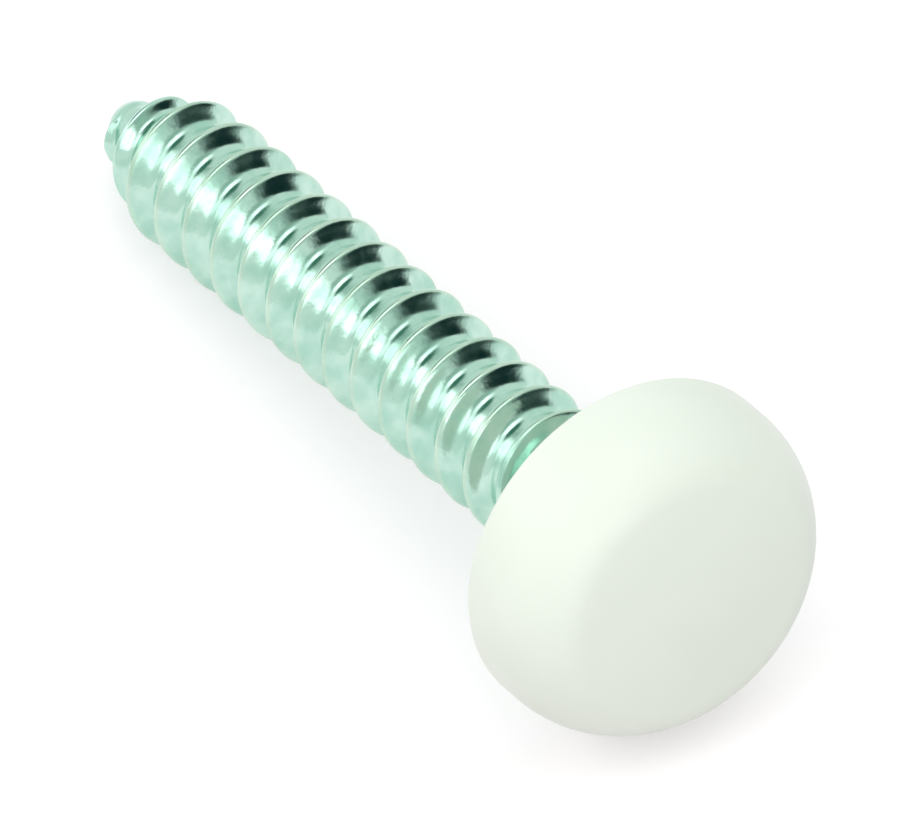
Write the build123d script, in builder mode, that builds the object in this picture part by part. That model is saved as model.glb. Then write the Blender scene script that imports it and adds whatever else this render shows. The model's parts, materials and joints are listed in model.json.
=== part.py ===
"""Carpet fastener screw: a blunt-pointed tapping screw of plated steel under a smooth white cap.

The screw lies on the floor as it comes to rest, on the rim of its cap and on the first full
crest of its thread. Its axis points from the tip towards +X and climbs slightly to the head.
Lengths along the screw are measured from the tip. All sizes are in millimetres.
"""
import os
from math import asin, atan2, cos, degrees, hypot, radians, sin, tan

from build123d import *

# ---- thread --------------------------------------------------------------------------------
crest_diameter = 4.2
root_diameter = 3.1
pitch = 1.4
full_turns = 13               # turns of full depth between the point and the neck
crest_width = 0.14            # flat on top of the ridge, along the axis
flank_angle = 30.0            # each flank leans this far from square to the axis
ridge_sink = 0.05             # the ridge starts this far inside the core
run_out_slope = 35.0          # slope at which the ridge dives into the neck
stretch_turns = 4             # the full ridge is wound in stretches of this many turns

# ---- shank and point -----------------------------------------------------------------------
shank_length = 25.0           # from the tip to the bearing face of the cap
neck_diameter = 3.7
neck_slope = 40.0             # slope of the core where it swells to the neck
point_length = 3.17           # from the tip to the first full crest
point_angle = 45.0            # included angle of the crests over the point
point_bare_length = 0.35      # the thread starts at least this far from the tip
point_start_radius = 0.3      # the start of the ridge is cut to a cone that opens from here
point_start_slope = 45.0      # slope of that cone
nub_radius = 0.8              # blunt end of the point

# ---- steel head ----------------------------------------------------------------------------
head_diameter = 7.4
head_height = 1.7
head_chamfer = 0.8
recess_width = 0.9            # one arm of the cross-shaped driving recess
recess_span = 4.0
recess_depth = 1.2
recess_draft = 10.0

# ---- cap -----------------------------------------------------------------------------------
cap_diameter = 10.1
cap_wall_height = 0.8         # straight side wall above the bearing face
cap_side_radius = 3.05        # the side curves over with this radius
cap_side_sweep = 47.0         # how far the side has turned from upright at the shoulder
cap_shoulder_radius = 1.2
cap_face_slope = 10.0         # slope of the domed face where it meets the shoulder
cap_foot_radius = 0.1
lip_thickness = 0.6           # inner lip that the steel head sits on
head_clearance = 0.08         # around the steel head
neck_clearance = 0.1

# ---- worked out from the sizes above -------------------------------------------------------
crest_radius = crest_diameter / 2
root_radius = root_diameter / 2
neck_radius = neck_diameter / 2
head_radius = head_diameter / 2
cap_radius = cap_diameter / 2
ridge_base = root_radius - ridge_sink
thread_end = point_length + full_turns * pitch
point_slope = point_angle / 2
point_turns = int((point_length - point_bare_length) / pitch)
point_thread_length = point_turns * pitch
run_out_length = (crest_radius - ridge_base) / tan(radians(run_out_slope))
seat = shank_length + lip_thickness          # underside of the steel head
head_top = seat + head_height

# Outline of the cap: the side curves in from the wall, the shoulder joins it to the domed face.
side_turn = radians(cap_side_sweep)
side_end = (
    shank_length + cap_wall_height + cap_side_radius * sin(side_turn),
    cap_radius - cap_side_radius * (1 - cos(side_turn)),
)
shoulder_centre = (
    side_end[0] - cap_shoulder_radius * sin(side_turn),
    side_end[1] - cap_shoulder_radius * cos(side_turn),
)
face_slope = radians(cap_face_slope)
face_edge = (
    shoulder_centre[0] + cap_shoulder_radius * cos(face_slope),
    shoulder_centre[1] + cap_shoulder_radius * sin(face_slope),
)
dome_radius = face_edge[1] / sin(face_slope)
cap_top = face_edge[0] + dome_radius * (1 - cos(face_slope))

# The screw rests on the foot of the cap and on the crest half a turn behind the first full one.
rest_crest = point_length + pitch / 2 - crest_width / 2
reach = shank_length + cap_foot_radius - rest_crest
rise = cap_radius - cap_foot_radius - crest_radius
tilt = atan2(rise, reach) + asin(cap_foot_radius / hypot(reach, rise))
tip_height = crest_radius * cos(tilt) - rest_crest * sin(tilt)

# Lengths along the floor from the tip, backwards to the end of the nub and on to the cap's face.
nub_reach = nub_radius * (1 - cos(tilt))
if tilt < face_slope:
    face_reach = (cap_top - dome_radius) * cos(tilt) + dome_radius
else:
    shoulder_reach = shoulder_centre[0] * cos(tilt) + shoulder_centre[1] * sin(tilt)
    face_reach = shoulder_reach + cap_shoulder_radius

section = Plane(
    origin=((nub_reach - face_reach) / 2, 0, tip_height),
    x_dir=(cos(tilt), 0, sin(tilt)),
    z_dir=(0, -1, 0),
)
axis = Axis(section.origin, section.x_dir)


def on_axis(distance):
    """Point of the screw's axis at a distance from the tip."""
    return section.from_local_coords((distance, 0, 0))


def ridge_profile(distance):
    """Cross-section of the full ridge above the axis, with its crest at a distance."""
    half_crest = crest_width / 2
    half_base = half_crest + (crest_radius - ridge_base) * tan(radians(flank_angle))
    return [
        (distance - half_base, ridge_base),
        (distance - half_crest, crest_radius),
        (distance + half_crest, crest_radius),
        (distance + half_base, ridge_base),
    ]


def wind_ridge(path, distance):
    """Sweep the full cross-section, drawn at a distance, along one stretch of the thread."""
    with BuildPart() as ridge:
        with BuildSketch(section):
            with BuildLine():
                Polyline(*ridge_profile(distance), close=True)
            make_face()
        sweep(path=path, is_frenet=True)
    return ridge.part


full_ridges = []
for turns_before in range(0, full_turns, stretch_turns):
    turns = min(stretch_turns, full_turns - turns_before)
    start = point_length + turns_before * pitch
    path = Helix(pitch, turns * pitch, ridge_base, on_axis(start), section.x_dir)
    full_ridges.append(wind_ridge(path, start))
point_ridge = wind_ridge(
    Helix(
        pitch / cos(radians(point_slope)),
        point_thread_length,
        crest_radius - point_thread_length * tan(radians(point_slope)),
        on_axis(point_length - point_thread_length),
        section.x_dir,
        cone_angle=point_slope,
    ),
    point_length,
)
# The ridge rises out of the nub along a cone, and nothing of it stands in front of the tip.
with BuildPart() as point_start:
    with BuildSketch(section):
        with BuildLine():
            Polyline(
                (-pitch, 0),
                (0, 0),
                (0, point_start_radius),
                (pitch, point_start_radius + pitch * tan(radians(point_start_slope))),
                (-pitch, point_start_radius + pitch * tan(radians(point_start_slope))),
                close=True,
            )
        make_face()
    revolve(axis=axis)
point_ridge -= point_start.part
run_out_ridge = wind_ridge(
    Helix(
        pitch / cos(radians(run_out_slope)),
        run_out_length,
        crest_radius,
        on_axis(thread_end),
        section.x_dir,
        cone_angle=-run_out_slope,
    ),
    thread_end,
)

# ---- screw ---------------------------------------------------------------------------------
neck_start = thread_end + pitch / 2
neck_swell = (neck_radius - root_radius) / tan(radians(neck_slope))

with BuildPart() as screw:
    with BuildSketch(section):
        with BuildLine():
            nub = RadiusArc((0, 0), (nub_radius, nub_radius), nub_radius)
            Polyline(
                nub @ 1,
                (point_length, root_radius),
                (neck_start, root_radius),
                (neck_start + neck_swell, neck_radius),
                (seat, neck_radius),
                (seat, head_radius),
                (head_top - head_chamfer, head_radius),
                (head_top, head_radius - head_chamfer),
                (head_top, 0),
                (0, 0),
            )
        make_face()
    revolve(axis=axis)
    add([*full_ridges, point_ridge, run_out_ridge])
    with BuildSketch(Plane(origin=on_axis(head_top), x_dir=(0, 1, 0), z_dir=section.x_dir)):
        Rectangle(recess_span, recess_width)
        Rectangle(recess_width, recess_span)
    extrude(amount=-recess_depth, taper=recess_draft, mode=Mode.SUBTRACT)

# ---- head cap ------------------------------------------------------------------------------

with BuildPart() as head_cap:
    with BuildSketch(section):
        with BuildLine():
            foot = RadiusArc(
                (shank_length, cap_radius - cap_foot_radius),
                (shank_length + cap_foot_radius, cap_radius),
                cap_foot_radius,
            )
            wall = Line(foot @ 1, (shank_length + cap_wall_height, cap_radius))
            RadiusArc(wall @ 1, side_end, cap_side_radius)
            RadiusArc(side_end, face_edge, cap_shoulder_radius)
            RadiusArc(face_edge, (cap_top, 0), dome_radius)
            Polyline((cap_top, 0), (shank_length, 0), foot @ 0)
        make_face()
    revolve(axis=axis)
    with BuildSketch(section):
        with BuildLine():
            inner_radius = head_radius + head_clearance
            Polyline(
                (shank_length, 0),
                (shank_length, neck_radius + neck_clearance),
                (seat, neck_radius + neck_clearance),
                (seat, inner_radius),
                (head_top - head_chamfer, inner_radius),
                (head_top, inner_radius - head_chamfer),
                (head_top, 0),
                close=True,
            )
        make_face()
    revolve(axis=axis, mode=Mode.SUBTRACT)

# ---- export --------------------------------------------------------------------------------
screw.part.label = "screw"
head_cap.part.label = "head_cap"
os.makedirs("parts", exist_ok=True)
export_step(screw.part, "parts/screw.step")
export_step(head_cap.part, "parts/head_cap.step")
print(f"tilt {degrees(tilt):.2f} degrees, cap top {cap_top:.2f} mm from the tip")
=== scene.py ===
"""Looks of the carpet fastener screw: a threaded steel shank and the smooth white cap on its head.

Every length is in metres. Both pieces are modelled along +X with the cap's bearing face at the
origin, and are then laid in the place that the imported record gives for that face.
"""
import json
import logging
from dataclasses import dataclass, field
from enum import Enum
from math import asin, cos, hypot, pi, radians, sin, sqrt, tan

import bpy
from mathutils import Matrix, Vector

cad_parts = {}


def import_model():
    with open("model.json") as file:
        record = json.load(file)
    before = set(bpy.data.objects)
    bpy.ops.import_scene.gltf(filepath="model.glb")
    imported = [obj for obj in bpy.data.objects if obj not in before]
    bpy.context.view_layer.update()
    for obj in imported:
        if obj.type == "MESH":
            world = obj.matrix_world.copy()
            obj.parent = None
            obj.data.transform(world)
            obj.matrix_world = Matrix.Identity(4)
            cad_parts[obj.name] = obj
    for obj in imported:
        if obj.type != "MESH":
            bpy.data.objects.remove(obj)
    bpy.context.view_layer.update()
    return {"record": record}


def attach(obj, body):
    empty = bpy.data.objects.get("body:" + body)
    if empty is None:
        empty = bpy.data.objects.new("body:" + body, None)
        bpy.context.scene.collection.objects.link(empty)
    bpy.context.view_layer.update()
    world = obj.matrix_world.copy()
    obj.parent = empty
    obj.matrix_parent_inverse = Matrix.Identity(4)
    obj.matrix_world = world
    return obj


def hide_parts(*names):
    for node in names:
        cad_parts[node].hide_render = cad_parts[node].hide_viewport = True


MM = 0.001
MERGE_DISTANCE = 0.0002 * MM  # points closer than this are one
WHITE = (1.0, 1.0, 1.0, 1.0)
log = logging.getLogger("carpet_fastener_screw")


class Slot(Enum):
    """Material slots of the record."""

    STEEL = "zinc_plated_steel"
    PLASTIC = "white_plastic"


# ---- hand tools ----------------------------------------------------------------------------
def deselect_all() -> None:
    """Leave nothing selected and no object in edit mode."""
    if bpy.context.mode != "OBJECT":
        bpy.ops.object.mode_set(mode="OBJECT")
    bpy.ops.object.select_all(action="DESELECT")


def make_active(piece: bpy.types.Object) -> None:
    """Select one object alone.

    Args:
        piece: the object that the next operators act on.
    """
    deselect_all()
    piece.select_set(True)
    bpy.context.view_layer.objects.active = piece


def start_ring(name: str, station: float, radius: float, sides: int) -> bpy.types.Object:
    """Add an open circle square to +X and leave it selected in edit mode.

    Args:
        name: name of the new object.
        station: place of the circle along +X.
        radius: radius of the circle.
        sides: number of its vertices.

    Returns:
        The object, in edit mode with the circle selected.
    """
    deselect_all()
    bpy.ops.mesh.primitive_circle_add(
        vertices=sides,
        radius=radius,
        fill_type="NOTHING",
        location=(station, 0.0, 0.0),
        rotation=(0.0, pi / 2, 0.0),
    )
    piece = bpy.context.object
    piece.name = name
    bpy.ops.object.transform_apply(location=True, rotation=True, scale=True)
    bpy.ops.object.mode_set(mode="EDIT")
    bpy.ops.mesh.select_all(action="SELECT")
    return piece


def draw_out(outline: list[tuple[float, float]]) -> None:
    """Extrude the selected ring from station to station of a turned outline.

    Args:
        outline: pairs of station and radius; the first one is the selected ring.
    """
    for (start, radius), (end, next_radius) in zip(outline, outline[1:]):
        bpy.ops.mesh.extrude_edges_move(
            MESH_OT_extrude_edges_indiv={},
            TRANSFORM_OT_translate={"value": (end - start, 0.0, 0.0)},
        )
        scale = next_radius / radius
        bpy.ops.transform.resize(value=(1.0, scale, scale), center_override=(end, 0.0, 0.0))


def close_ring() -> None:
    """Close the selected ring with a fan of faces round a pole."""
    bpy.ops.mesh.extrude_edges_move(MESH_OT_extrude_edges_indiv={})
    bpy.ops.mesh.merge(type="CENTER")


def finish_shell(piece: bpy.types.Object, sharp_above: float) -> None:
    """Turn all faces outwards, leave edit mode and shade the faces smoothly up to an angle.

    Args:
        piece: the closed shell, in edit mode.
        sharp_above: edges that turn by more than this stay sharp, in degrees.
    """
    bpy.ops.mesh.select_all(action="SELECT")
    bpy.ops.mesh.normals_make_consistent(inside=False)
    make_active(piece)
    bpy.ops.object.shade_smooth_by_angle(angle=radians(sharp_above))


def arc(
    centre: tuple[float, float], radius: float, start: float, end: float, steps: int
) -> list[tuple[float, float]]:
    """Stations and radii on a circular arc, without its first point.

    Args:
        centre: station and radius of the arc's centre.
        radius: radius of the arc.
        start: angle of the first point, in degrees from square to the axis towards +X.
        end: angle of the last point.
        steps: number of points.

    Returns:
        The points as pairs of station and radius.
    """
    turns = (radians(start + (end - start) * i / steps) for i in range(1, steps + 1))
    return [(centre[0] + radius * sin(t), centre[1] + radius * cos(t)) for t in turns]


# ---- shader tools --------------------------------------------------------------------------
class Graph:
    """A node tree that is written one node at a time."""

    def __init__(self, tree: bpy.types.NodeTree) -> None:
        """Keep the tree and empty it."""
        self.tree = tree
        tree.nodes.clear()

    def add(self, kind: str, settings: dict | None = None, **inputs: object) -> bpy.types.Node:
        """Add a node, set its properties and fill or link its inputs.

        Args:
            kind: type name of the node.
            settings: properties of the node by name.
            inputs: a value or an output socket for each input; an underscore stands for a space.

        Returns:
            The new node.
        """
        node = self.tree.nodes.new(kind)
        for name, value in (settings or {}).items():
            setattr(node, name, value)
        for name, value in inputs.items():
            socket = self.socket(node, name)
            if isinstance(value, bpy.types.NodeSocket):
                self.tree.links.new(value, socket)
            else:
                socket.default_value = value
        return node

    @staticmethod
    def socket(node: bpy.types.Node, name: str) -> bpy.types.NodeSocket:
        """Find a node's input by its name, or by its place where the name is like in_0."""
        if name.startswith("in_"):
            return node.inputs[int(name[3:])]
        return node.inputs[name.replace("_", " ")]

    def mix(self, factor: object, low: object, high: object) -> bpy.types.NodeSocket:
        """Blend two colours and return the mixed colour's socket."""
        node = self.add("ShaderNodeMix", {"data_type": "RGBA"})
        for place, value in ((0, factor), (6, low), (7, high)):
            if isinstance(value, bpy.types.NodeSocket):
                self.tree.links.new(value, node.inputs[place])
            else:
                node.inputs[place].default_value = value
        return node.outputs[2]

    def math(self, operation: str, *values: object, clamp: bool = False) -> bpy.types.NodeSocket:
        """Add a Math node and return its value's socket."""
        settings = {"operation": operation, "use_clamp": clamp}
        inputs = {f"in_{i}": value for i, value in enumerate(values)}
        return self.add("ShaderNodeMath", settings, **inputs).outputs[0]

    def spread(
        self, value: object, lows: tuple[float, float], highs: tuple[float, float]
    ) -> bpy.types.NodeSocket:
        """Map a value smoothly from one range to another and return its socket."""
        node = self.add(
            "ShaderNodeMapRange",
            {"interpolation_type": "SMOOTHSTEP"},
            in_0=value,
            in_1=lows[0],
            in_2=lows[1],
            in_3=highs[0],
            in_4=highs[1],
        )
        return node.outputs[0]


def new_group(name: str, inputs: dict[str, str], outputs: dict[str, str]) -> bpy.types.NodeTree:
    """Make an empty shader node group with named sockets.

    Args:
        name: name of the group.
        inputs: socket type of each input by its name.
        outputs: socket type of each output by its name.

    Returns:
        The group's tree.
    """
    tree = bpy.data.node_groups.new(name, "ShaderNodeTree")
    for label, kind in inputs.items():
        tree.interface.new_socket(label, in_out="INPUT", socket_type=kind)
    for label, kind in outputs.items():
        tree.interface.new_socket(label, in_out="OUTPUT", socket_type=kind)
    return tree


def mottle_group() -> bpy.types.NodeTree:
    """Broad patches and fine grain of a worked surface, for any material.

    Returns:
        A group with inputs Vector, Patch Size and Grain Size in metres, and outputs Patches and
        Grain from 0 to 1.
    """
    name = "mottle"
    patch_contrast = (0.3, 0.7)
    found = bpy.data.node_groups.get(name)
    if found:
        return found
    tree = new_group(
        name,
        {
            "Vector": "NodeSocketVector",
            "Patch Size": "NodeSocketFloat",
            "Grain Size": "NodeSocketFloat",
        },
        {"Patches": "NodeSocketFloat", "Grain": "NodeSocketFloat"},
    )
    graph = Graph(tree)
    given = graph.add("NodeGroupInput")
    place = given.outputs["Vector"]
    patch_scale = graph.math("DIVIDE", 1.0, given.outputs["Patch Size"])
    grain_scale = graph.math("DIVIDE", 1.0, given.outputs["Grain Size"])
    patches = graph.add("ShaderNodeTexNoise", Vector=place, Scale=patch_scale, Detail=3.0)
    grain = graph.add("ShaderNodeTexNoise", Vector=place, Scale=grain_scale, Detail=2.0)
    out = graph.add("NodeGroupOutput")
    smooth = graph.spread(patches.outputs[0], patch_contrast, (0.0, 1.0))
    graph.tree.links.new(smooth, out.inputs["Patches"])
    graph.tree.links.new(grain.outputs[0], out.inputs["Grain"])
    return tree


# ---- finishes ------------------------------------------------------------------------------
@dataclass(frozen=True)
class ZincPlate:
    """Bright zinc plating with a pale blue-green tint, rougher in the roots of the thread, where
    its colour is also darkened as painted shade.
    """

    pale: tuple[float, float, float, float] = (0.55, 0.77, 0.67, 1.0)
    deep: tuple[float, float, float, float] = (0.40, 0.66, 0.55, 1.0)
    crest: tuple[float, float, float, float] = (0.66, 0.75, 0.58, 1.0)
    roughness: tuple[float, float] = (0.12, 0.22)
    patch_size: float = 0.9 * MM
    grain_size: float = 0.09 * MM
    grain_height: float = 0.0015 * MM
    dent_size: float = 0.26 * MM
    dent_height: float = 0.005 * MM
    dent_detail: float = 1.5
    crest_band: tuple[float, float] = (0.80, 1.0)
    crest_tint: float = 0.35
    crest_roughness: float = 0.10
    root_band: tuple[float, float] = (0.0, 0.25)
    # share by which the roots are darkened towards the deep tint: painted shade in the recesses
    root_dulling: float = 0.25
    root_roughness: float = 0.03
    height_attribute: str = "thread_height"

    def material(self) -> bpy.types.Material:
        """Build the plating's material."""
        material = bpy.data.materials.new(Slot.STEEL.value)
        material.use_nodes = True
        graph = Graph(material.node_tree)
        place = graph.add("ShaderNodeTexCoord").outputs["Object"]
        mottle = graph.add(
            "ShaderNodeGroup",
            {"node_tree": mottle_group()},
            Vector=place,
            Patch_Size=self.patch_size,
            Grain_Size=self.grain_size,
        )
        height = graph.add("ShaderNodeAttribute", {"attribute_name": self.height_attribute})
        crest = graph.spread(height.outputs["Fac"], self.crest_band, (0.0, 1.0))
        root = graph.spread(height.outputs["Fac"], self.root_band, (1.0, 0.0))
        tint = graph.mix(mottle.outputs["Patches"], self.pale, self.deep)
        # painted shade: the colour is darkened towards the deep tint in the roots of the thread
        root_shaded_colour = graph.mix(graph.math("MULTIPLY", root, self.root_dulling), tint, self.deep)
        bright = graph.mix(graph.math("MULTIPLY", crest, self.crest_tint), root_shaded_colour, self.crest)
        rough = graph.spread(mottle.outputs["Patches"], (0.0, 1.0), self.roughness)
        rough = graph.math("ADD", rough, graph.math("MULTIPLY", root, self.root_roughness))
        rough = graph.math("ADD", rough, graph.math("MULTIPLY", crest, self.crest_roughness))
        dents = graph.add(
            "ShaderNodeTexNoise",
            Vector=place,
            Scale=1 / self.dent_size,
            Detail=self.dent_detail,
        )
        dented = graph.add(
            "ShaderNodeBump", Strength=1.0, Distance=self.dent_height, Height=dents.outputs[0]
        )
        bump = graph.add(
            "ShaderNodeBump",
            Strength=1.0,
            Distance=self.grain_height,
            Height=mottle.outputs["Grain"],
            Normal=dented.outputs[0],
        )
        shader = graph.add(
            "ShaderNodeBsdfPrincipled",
            Base_Color=bright,
            Metallic=1.0,
            Roughness=rough,
            Normal=bump.outputs[0],
        )
        graph.add("ShaderNodeOutputMaterial", Surface=shader.outputs[0])
        return material


@dataclass(frozen=True)
class SatinPlastic:
    """Satin moulded plastic, white with a trace of green, with a faint flow pattern."""

    pale: tuple[float, float, float, float] = (0.87, 0.90, 0.82, 1.0)
    deep: tuple[float, float, float, float] = (0.85, 0.885, 0.80, 1.0)
    roughness: tuple[float, float] = (0.33, 0.40)
    patch_size: float = 3.2 * MM
    grain_size: float = 0.25 * MM
    grain_height: float = 0.0008 * MM
    ior: float = 1.5
    specular_level: float = 0.35

    def material(self) -> bpy.types.Material:
        """Build the plastic's material."""
        material = bpy.data.materials.new(Slot.PLASTIC.value)
        material.use_nodes = True
        graph = Graph(material.node_tree)
        place = graph.add("ShaderNodeTexCoord").outputs["Object"]
        mottle = graph.add(
            "ShaderNodeGroup",
            {"node_tree": mottle_group()},
            Vector=place,
            Patch_Size=self.patch_size,
            Grain_Size=self.grain_size,
        )
        colour = graph.mix(mottle.outputs["Patches"], self.pale, self.deep)
        rough = graph.spread(mottle.outputs["Patches"], (0.0, 1.0), self.roughness)
        bump = graph.add(
            "ShaderNodeBump",
            Strength=1.0,
            Distance=self.grain_height,
            Height=mottle.outputs["Grain"],
        )
        shader = graph.add(
            "ShaderNodeBsdfPrincipled",
            Base_Color=colour,
            Roughness=rough,
            Normal=bump.outputs[0],
            IOR=self.ior,
            Specular_IOR_Level=self.specular_level,
        )
        graph.add("ShaderNodeOutputMaterial", Surface=shader.outputs[0])
        return material


# ---- place of the screw --------------------------------------------------------------------
@dataclass(frozen=True)
class ScrewAxis:
    """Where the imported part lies: its bearing face and the way its axis points."""

    seat: Vector
    direction: Vector

    @classmethod
    def from_record(cls, record: dict, thread_to_seat: float) -> "ScrewAxis":
        """Read the axis from the record's thread, which lies on it and points to the tip.

        Args:
            record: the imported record.
            thread_to_seat: distance from the first full crest to the bearing face.

        Returns:
            The axis.
        """
        thread = next(m for m in record["mounts"] if m["name"] == "thread")
        direction = -Vector(thread["axis"]).normalized()
        return cls(Vector(thread["pos_m"]) + direction * thread_to_seat, direction)

    @property
    def tilt(self) -> float:
        """Angle by which the axis climbs from the floor."""
        return asin(self.direction.z)

    def at(self, distance: float) -> Vector:
        """Point of the axis at a distance from the bearing face towards the cap's top."""
        return self.seat + self.direction * distance

    def lay(self, piece: bpy.types.Object) -> None:
        """Lay a piece that was modelled along +X in its place, and apply that to its mesh."""
        make_active(piece)
        piece.matrix_world = Matrix.Translation(self.seat) @ Matrix.Rotation(-self.tilt, 4, "Y")
        bpy.ops.object.transform_apply(location=True, rotation=True, scale=True)


# ---- pieces --------------------------------------------------------------------------------
@dataclass
class ThreadedScrew:
    """The steel screw: blunt point, helical thread, plain neck and the hidden pan head."""

    finish: ZincPlate = field(default_factory=ZincPlate)
    shank_length: float = 25.0 * MM
    crest_radius: float = 2.1 * MM
    root_radius: float = 1.55 * MM
    pitch: float = 1.4 * MM
    crest_half: float = 0.07 * MM
    flank_angle: float = 30.0
    crest_round: float = 0.1 * MM
    root_round: float = 0.28 * MM
    core_round: float = 0.06 * MM  # where the sunk thread meets the core
    point_length: float = 3.17 * MM
    point_slope: float = 22.5
    nub_radius: float = 0.8 * MM
    run_in_end: float = 0.75 * MM
    run_in_slope: float = 45.0
    thread_end: float = 21.37 * MM
    run_out_slope: float = 35.0
    neck_radius: float = 1.85 * MM
    neck_start: float = 22.07 * MM
    neck_slope: float = 40.0
    seat_height: float = 0.6 * MM
    head_radius: float = 3.7 * MM
    head_height: float = 1.7 * MM
    head_chamfer: float = 0.8 * MM
    recess_width: float = 0.9 * MM
    recess_span: float = 4.0 * MM
    recess_depth: float = 1.2 * MM
    marks: tuple[float, ...] = (
        0.03, 0.06, 0.085, 0.11, 0.15, 0.20, 0.25, 0.30, 0.34, 0.38, 0.43, 0.52, 0.62,
    )  # outline points either side of the crest's middle, in mm
    turns_before: int = 4
    turns_after: int = 17
    steps: int = 96
    sharp_above: float = 50.0

    def ridge_height(self, offset: float) -> float:
        """Height of the thread above its root at an offset from the crest's middle.

        Args:
            offset: distance along the axis from the middle of the crest, either way.

        Returns:
            The height, with the crest's edges and the roots' corners rounded.
        """
        full = self.crest_radius - self.root_radius
        flank = full - (abs(offset) - self.crest_half) / tan(radians(self.flank_angle))
        top = self.blend(flank, full, -self.crest_round)
        return self.blend(top, 0.0, self.root_round)

    @staticmethod
    def blend(a: float, b: float, width: float) -> float:
        """The larger of two heights, or the smaller if width is below 0, with a rounded corner."""
        sign = 1.0 if width > 0 else -1.0
        gap = abs(a - b)
        reach = abs(width)
        extra = (reach - gap) ** 2 / (4 * reach) if gap < reach else 0.0
        return sign * (max(sign * a, sign * b) + extra)

    def core(self, distance: float) -> float:
        """Radius of the core at a distance from the tip."""
        if distance <= self.nub_radius:
            return sqrt(max(0.0, self.nub_radius**2 - (self.nub_radius - distance) ** 2))
        if distance < self.point_length:
            share = (distance - self.nub_radius) / (self.point_length - self.nub_radius)
            return self.nub_radius + share * (self.root_radius - self.nub_radius)
        swell = (distance - self.neck_start) * tan(radians(self.neck_slope))
        return min(self.neck_radius, self.root_radius + max(0.0, swell))

    def sink(self, distance: float) -> float:
        """How far the thread is sunk at a distance from the tip, at both its ends."""
        over_point = (self.point_length - distance) * tan(radians(self.point_slope))
        run_in = (self.run_in_end - distance) * tan(radians(self.run_in_slope))
        run_out = (distance - self.thread_end) * tan(radians(self.run_out_slope))
        return max(0.0, over_point, run_out) + max(0.0, run_in)

    def model_turn(self) -> bpy.types.Object:
        """Draw one pitch of the thread's outline and wind it into the whole thread.

        Returns:
            The wound thread, open at both ends, with its tip at the origin.
        """
        half = self.pitch / 2
        offsets = sorted([s * m * MM for m in self.marks for s in (-1, 1)] + [-half, 0.0, half])
        points = [(x, self.root_radius + self.ridge_height(x)) for x in offsets]
        start = self.point_length - self.turns_before * self.pitch
        deselect_all()
        bpy.ops.mesh.primitive_plane_add(size=MM, location=(0.0, 0.0, 0.0))
        piece = bpy.context.object
        piece.name = "zinc_screw"
        bpy.ops.object.mode_set(mode="EDIT")
        bpy.ops.mesh.select_all(action="SELECT")
        bpy.ops.mesh.merge(type="CENTER")
        bpy.ops.mesh.select_all(action="SELECT")
        bpy.ops.transform.translate(value=(start + points[0][0], 0.0, points[0][1]))
        for (x, z), (next_x, next_z) in zip(points, points[1:]):
            bpy.ops.mesh.extrude_region_move(
                TRANSFORM_OT_translate={"value": (next_x - x, 0.0, next_z - z)}
            )
        bpy.ops.object.mode_set(mode="OBJECT")
        wind = piece.modifiers.new("wind", "SCREW")
        wind.axis = "X"
        wind.angle = 2 * pi
        wind.screw_offset = self.pitch
        wind.iterations = self.turns_before + self.turns_after
        wind.steps = wind.render_steps = self.steps
        wind.use_smooth_shade = True
        make_active(piece)
        bpy.ops.object.modifier_apply(modifier=wind.name)
        return piece

    def fit_outline(self, piece: bpy.types.Object) -> None:
        """Sink the wound thread into the core and write how high on the thread each point lies.

        Args:
            piece: the wound thread with its tip at the origin.
        """
        end = self.shank_length + self.seat_height / 2
        heights = []
        for vertex in piece.data.vertices:
            x, y, z = vertex.co
            radius = hypot(y, z)
            distance = min(max(x, 0.0), end)
            if 0.0 < distance < self.nub_radius:
                turn = distance / self.nub_radius * pi / 2
                distance = self.nub_radius * (1 - cos(turn))
            core = self.core(distance)
            ridge = radius - self.sink(distance)
            fitted = self.blend(ridge, core, self.core_round) if 0.0 < core else 0.0
            scale = fitted / radius
            vertex.co = (distance, y * scale, z * scale)
            heights.append((fitted - core) / (self.crest_radius - self.root_radius))
        layer = piece.data.attributes.new(self.finish.height_attribute, "FLOAT", "POINT")
        layer.data.foreach_set("value", heights)

    def model_head(self, piece: bpy.types.Object) -> None:
        """Close the tip and draw the shank's end out into the pan head.

        Args:
            piece: the fitted thread, whose end is a ring inside the cap.
        """
        make_active(piece)
        bpy.ops.object.mode_set(mode="EDIT")
        bpy.ops.mesh.select_all(action="SELECT")
        bpy.ops.mesh.remove_doubles(threshold=MERGE_DISTANCE)
        bpy.ops.mesh.dissolve_degenerate(threshold=MERGE_DISTANCE)
        bpy.ops.mesh.select_all(action="DESELECT")
        bpy.ops.mesh.select_mode(type="EDGE")
        bpy.ops.mesh.select_non_manifold()
        end = self.shank_length + self.seat_height / 2
        seat = self.shank_length + self.seat_height
        top = seat + self.head_height
        draw_out(
            [
                (end, self.neck_radius),
                (seat, self.neck_radius),
                (seat, self.head_radius),
                (top - self.head_chamfer, self.head_radius),
                (top, self.head_radius - self.head_chamfer),
            ]
        )
        close_ring()

    def cut_recess(self, piece: bpy.types.Object) -> None:
        """Cut the cross-shaped driving recess into the hidden head."""
        top = self.shank_length + self.seat_height + self.head_height
        for arm, (width, height) in enumerate(
            ((self.recess_span, self.recess_width), (self.recess_width, self.recess_span))
        ):
            deselect_all()
            bpy.ops.mesh.primitive_cube_add(size=1.0, location=(top, 0.0, 0.0))
            cutter = bpy.context.object
            cutter.scale = (2 * self.recess_depth, width, height)
            bpy.ops.object.transform_apply(location=True, rotation=True, scale=True)
            cut = piece.modifiers.new(f"recess_{arm}", "BOOLEAN")
            cut.operation = "DIFFERENCE"
            cut.solver = "EXACT"
            cut.object = cutter
            make_active(piece)
            bpy.ops.object.modifier_apply(modifier=cut.name)
            bpy.data.objects.remove(cutter)

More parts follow.
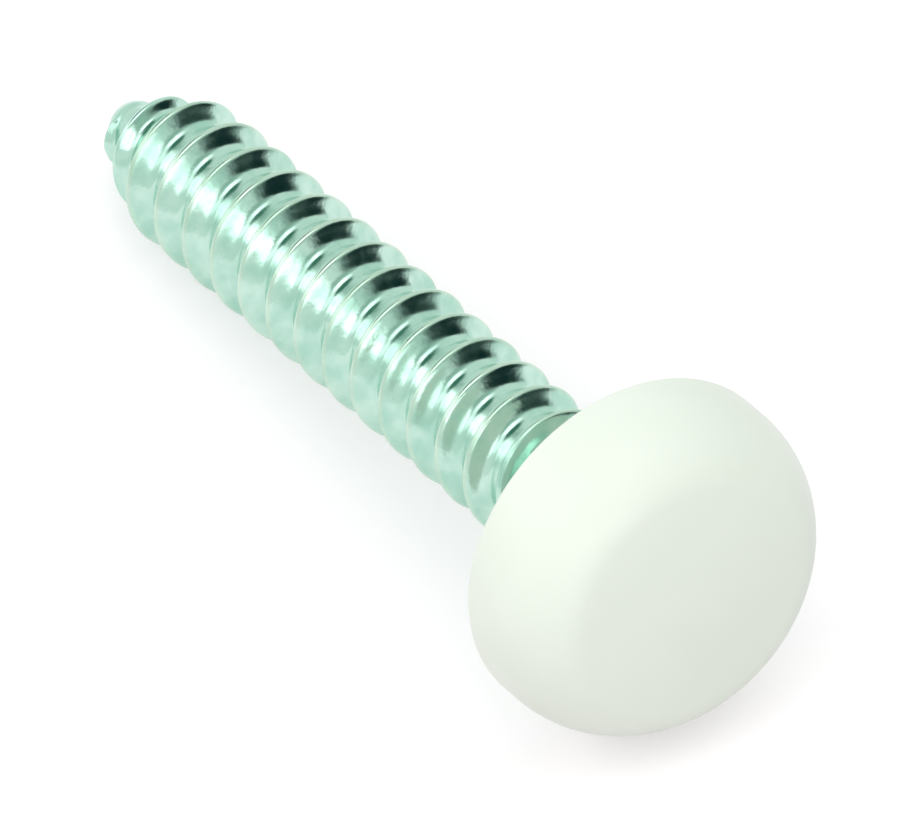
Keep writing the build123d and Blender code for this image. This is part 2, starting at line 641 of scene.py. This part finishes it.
    def build(self, axis: ScrewAxis) -> bpy.types.Object:
        """Model, finish and place the screw.

        Args:
            axis: where the screw lies.

        Returns:
            The finished piece.
        """
        piece = self.model_turn()
        self.fit_outline(piece)
        self.model_head(piece)
        finish_shell(piece, self.sharp_above)
        self.cut_recess(piece)
        piece.data.transform(Matrix.Translation((-self.shank_length, 0.0, 0.0)))
        axis.lay(piece)
        piece.data.materials.clear()
        piece.data.materials.append(self.finish.material())
        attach(piece, "root")
        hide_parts("screw")
        return piece


@dataclass
class HeadCap:
    """The smooth white cap that is snapped over the steel head."""

    finish: SatinPlastic = field(default_factory=SatinPlastic)
    radius: float = 5.048 * MM
    wall_height: float = 0.799 * MM
    side_radius: float = 3.05 * MM
    side_sweep: float = 47.0
    shoulder_radius: float = 1.2 * MM
    face_slope: float = 10.0
    foot_round: float = 0.1 * MM
    neck_hole: float = 1.95 * MM
    lip: float = 0.6 * MM
    hollow_radius: float = 3.78 * MM
    hollow_chamfer: float = 0.8 * MM
    hollow_top: float = 2.3 * MM
    pole_ring: float = 0.25 * MM
    foot_steps: int = 6
    side_steps: int = 12
    shoulder_steps: int = 10
    dome_steps: int = 14
    sides: int = 144
    sharp_above: float = 35.0

    def outside(self) -> list[tuple[float, float]]:
        """Outline of the cap from its foot over the side and shoulder to the dome's pole ring."""
        foot = self.foot_round
        points = [(0.0, self.radius - foot)]
        points += arc((foot, self.radius - foot), foot, -90.0, 0.0, self.foot_steps)
        points.append((self.wall_height, self.radius))
        side_centre = (self.wall_height, self.radius - self.side_radius)
        points += arc(side_centre, self.side_radius, 0.0, self.side_sweep, self.side_steps)
        turn = radians(self.side_sweep)
        shoulder_centre = (
            points[-1][0] - self.shoulder_radius * sin(turn),
            points[-1][1] - self.shoulder_radius * cos(turn),
        )
        face_turn = 90.0 - self.face_slope
        points += arc(
            shoulder_centre, self.shoulder_radius, self.side_sweep, face_turn, self.shoulder_steps
        )
        dome_radius = points[-1][1] / sin(radians(self.face_slope))
        dome_centre = (points[-1][0] - dome_radius * cos(radians(self.face_slope)), 0.0)
        pole_turn = 90.0 - self.face_slope * self.pole_ring / points[-1][1]
        points += arc(dome_centre, dome_radius, face_turn, pole_turn, self.dome_steps)
        return points

    def build(self, axis: ScrewAxis) -> bpy.types.Object:
        """Model, finish and place the cap.

        Args:
            axis: where the screw lies.

        Returns:
            The finished piece.
        """
        inside = [
            (self.hollow_top, self.pole_ring),
            (self.hollow_top, self.hollow_radius - self.hollow_chamfer),
            (self.hollow_top - self.hollow_chamfer, self.hollow_radius),
            (self.lip, self.hollow_radius),
            (self.lip, self.neck_hole),
            (0.0, self.neck_hole),
        ]
        piece = start_ring("white_cap", *inside[0], self.sides)
        draw_out(inside + self.outside())
        close_ring()
        bpy.ops.mesh.select_all(action="DESELECT")
        bpy.ops.mesh.select_mode(type="EDGE")
        bpy.ops.mesh.select_non_manifold()
        close_ring()
        finish_shell(piece, self.sharp_above)
        axis.lay(piece)
        piece.data.materials.clear()
        piece.data.materials.append(self.finish.material())
        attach(piece, "root")
        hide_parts("head_cap")
        return piece


# ---- studio --------------------------------------------------------------------------------
@dataclass(frozen=True)
class SkyPatch:
    """An oval of another colour in the light all round.

    Angles are in degrees, and the softness of its edge is a share of its half width.
    """

    azimuth: float
    elevation: float
    half_width: float
    half_height: float
    roll: float
    colour: tuple[float, float, float, float]
    softness: float = 0.25

    def mask(self, graph: Graph, heading: bpy.types.NodeSocket) -> bpy.types.NodeSocket:
        """Add the nodes that tell how far a heading lies in the oval.

        Args:
            graph: the world's node tree.
            heading: direction from the scene's middle.

        Returns:
            A socket with 1 inside the oval and 0 outside.
        """
        turn, rise = radians(self.azimuth), radians(self.elevation)
        middle = Vector((cos(rise) * cos(turn), cos(rise) * sin(turn), sin(rise)))
        level = Vector((-sin(turn), cos(turn), 0.0))
        across = Matrix.Rotation(radians(self.roll), 3, middle) @ level
        upwards = middle.cross(across) / sin(radians(self.half_height))
        across = across / sin(radians(self.half_width))
        reach = []
        for side in (middle, across, upwards):
            dot = graph.add(
                "ShaderNodeVectorMath", {"operation": "DOT_PRODUCT"}, in_0=heading, in_1=side
            )
            reach.append(dot.outputs["Value"])
        squares = [graph.math("MULTIPLY", value, value) for value in reach[1:]]
        away = graph.math("SQRT", graph.math("ADD", *squares))
        edge = (1.0 - self.softness, 1.0 + self.softness)
        inside = graph.spread(away, edge, (1.0, 0.0))
        return graph.math("MULTIPLY", inside, graph.math("GREATER_THAN", reach[0], 0.0))


@dataclass
class Studio:
    """Pale floor, soft light all round with bright and dark ovals in it, and the camera."""

    floor_size: float = 1.2
    floor_colour: tuple[float, float, float, float] = (0.67, 0.63, 0.65, 1.0)
    floor_glow: float = 0.43
    floor_roughness: float = 0.9
    sky: tuple[float, float, float, float] = (0.90, 0.96, 0.93, 1.0)
    sky_level: float = 0.97
    patches: tuple[SkyPatch, ...] = (
        # overhead, bright
        SkyPatch(0.0, 82.0, 20.0, 20.0, 0.0, (2.1, 2.1, 2.1, 1.0), 0.4),
        # muted green
        SkyPatch(14.0, 49.0, 30.0, 10.0, 0.0, (0.45, 0.58, 0.52, 1.0), 0.3),
        # three bright windows
        SkyPatch(-22.0, 34.0, 24.0, 13.0, -15.0, (2.15, 2.15, 2.15, 1.0)),
        SkyPatch(-88.0, 50.0, 27.0, 14.0, 0.0, (1.7, 1.7, 1.7, 1.0), 0.4),
        SkyPatch(-143.0, 27.0, 17.0, 16.0, 0.0, (2.1, 2.1, 2.1, 1.0), 0.3),
        # nearly black, for the dark flanks of the thread
        SkyPatch(53.0, 20.0, 26.0, 15.0, -35.0, (0.005, 0.025, 0.025, 1.0), 0.3),
        # dark green
        SkyPatch(-168.0, 58.0, 22.0, 19.0, 0.0, (0.06, 0.19, 0.14, 1.0)),
    )
    azimuth: float = 56.56
    elevation: float = 43.09
    aim: float = 16.74 * MM
    side_shift: float = -0.27 * MM
    frame_width: float = 24.32 * MM
    lens: float = 1400.0
    sensor: float = 36.0
    clip_start: float = 0.05

    def see_background(self, graph: Graph) -> bpy.types.NodeSocket:
        """Give 1 to the rays that see the floor: straight, mirrored or through glass."""
        path = graph.add("ShaderNodeLightPath")
        seen = graph.math("ADD", path.outputs["Is Camera Ray"], path.outputs["Is Glossy Ray"])
        return graph.math("ADD", seen, path.outputs["Is Transmission Ray"], clamp=True)

    def build_floor(self) -> bpy.types.Object:
        """Lay the pale floor under the screw."""
        deselect_all()
        bpy.ops.mesh.primitive_plane_add(size=self.floor_size)
        floor = bpy.context.object
        floor.name = "floor"
        material = bpy.data.materials.new("floor")
        material.use_nodes = True
        graph = Graph(material.node_tree)
        shader = graph.add(
            "ShaderNodeBsdfPrincipled",
            Base_Color=self.floor_colour,
            Roughness=self.floor_roughness,
            Specular_IOR_Level=0.0,
            Emission_Color=WHITE,
            Emission_Strength=graph.math("MULTIPLY", self.see_background(graph), self.floor_glow),
        )
        graph.add("ShaderNodeOutputMaterial", Surface=shader.outputs[0])
        floor.data.materials.append(material)
        return floor

    def build_sky(self) -> None:
        """Surround the scene with soft white light that has brighter and darker ovals in it."""
        world = bpy.data.worlds.new("studio")
        bpy.context.scene.world = world
        world.use_nodes = True
        graph = Graph(world.node_tree)
        heading = graph.add("ShaderNodeTexCoord").outputs["Generated"]
        colour = self.sky
        for patch in self.patches:
            colour = graph.mix(patch.mask(graph, heading), colour, patch.colour)
        light = graph.add("ShaderNodeBackground", Color=colour, Strength=self.sky_level)
        seen = graph.add("ShaderNodeBackground", Color=WHITE, Strength=1.0)
        path = graph.add("ShaderNodeLightPath")
        shader = graph.add(
            "ShaderNodeMixShader",
            in_0=path.outputs["Is Camera Ray"],
            in_1=light.outputs[0],
            in_2=seen.outputs[0],
        )
        graph.add("ShaderNodeOutputWorld", Surface=shader.outputs[0])

    def build_camera(self, axis: ScrewAxis, tip: float) -> None:
        """Set up the long-lens camera that looks down on the cap.

        Args:
            axis: where the screw lies.
            tip: distance of the screw's tip behind the bearing face.
        """
        turn, rise = radians(self.azimuth), radians(self.elevation)
        back = Vector((sin(turn) * cos(rise), -cos(turn) * cos(rise), sin(rise)))
        right = Vector((cos(turn), sin(turn), 0.0))
        up = back.cross(right)
        side = axis.direction.cross(back).normalized()
        target = axis.at(self.aim - tip) - side * self.side_shift
        away = self.frame_width * self.lens / self.sensor
        data = bpy.data.cameras.new("camera")
        data.lens = self.lens
        data.sensor_width = self.sensor
        data.clip_start = self.clip_start
        camera = bpy.data.objects.new("camera", data)
        bpy.context.scene.collection.objects.link(camera)
        turn_matrix = Matrix((right, up, back)).transposed().to_4x4()
        camera.matrix_world = Matrix.Translation(target + back * away) @ turn_matrix
        bpy.context.scene.camera = camera

    def build(self, axis: ScrewAxis, tip: float) -> None:
        """Build the floor, the light and the camera."""
        self.build_floor()
        self.build_sky()
        self.build_camera(axis, tip)
        bpy.context.scene.view_settings.view_transform = "Standard"


def main() -> None:
    """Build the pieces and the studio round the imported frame."""
    logging.basicConfig(level=logging.INFO, format="%(name)s: %(message)s")
    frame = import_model()
    screw = ThreadedScrew()
    axis = ScrewAxis.from_record(frame["record"], screw.shank_length - screw.point_length)
    for part in (screw, HeadCap()):
        piece = part.build(axis)
        log.info("%s: %d faces", piece.name, len(piece.data.polygons))
    Studio().build(axis, screw.shank_length)


if __name__ == "__main__":
    main()
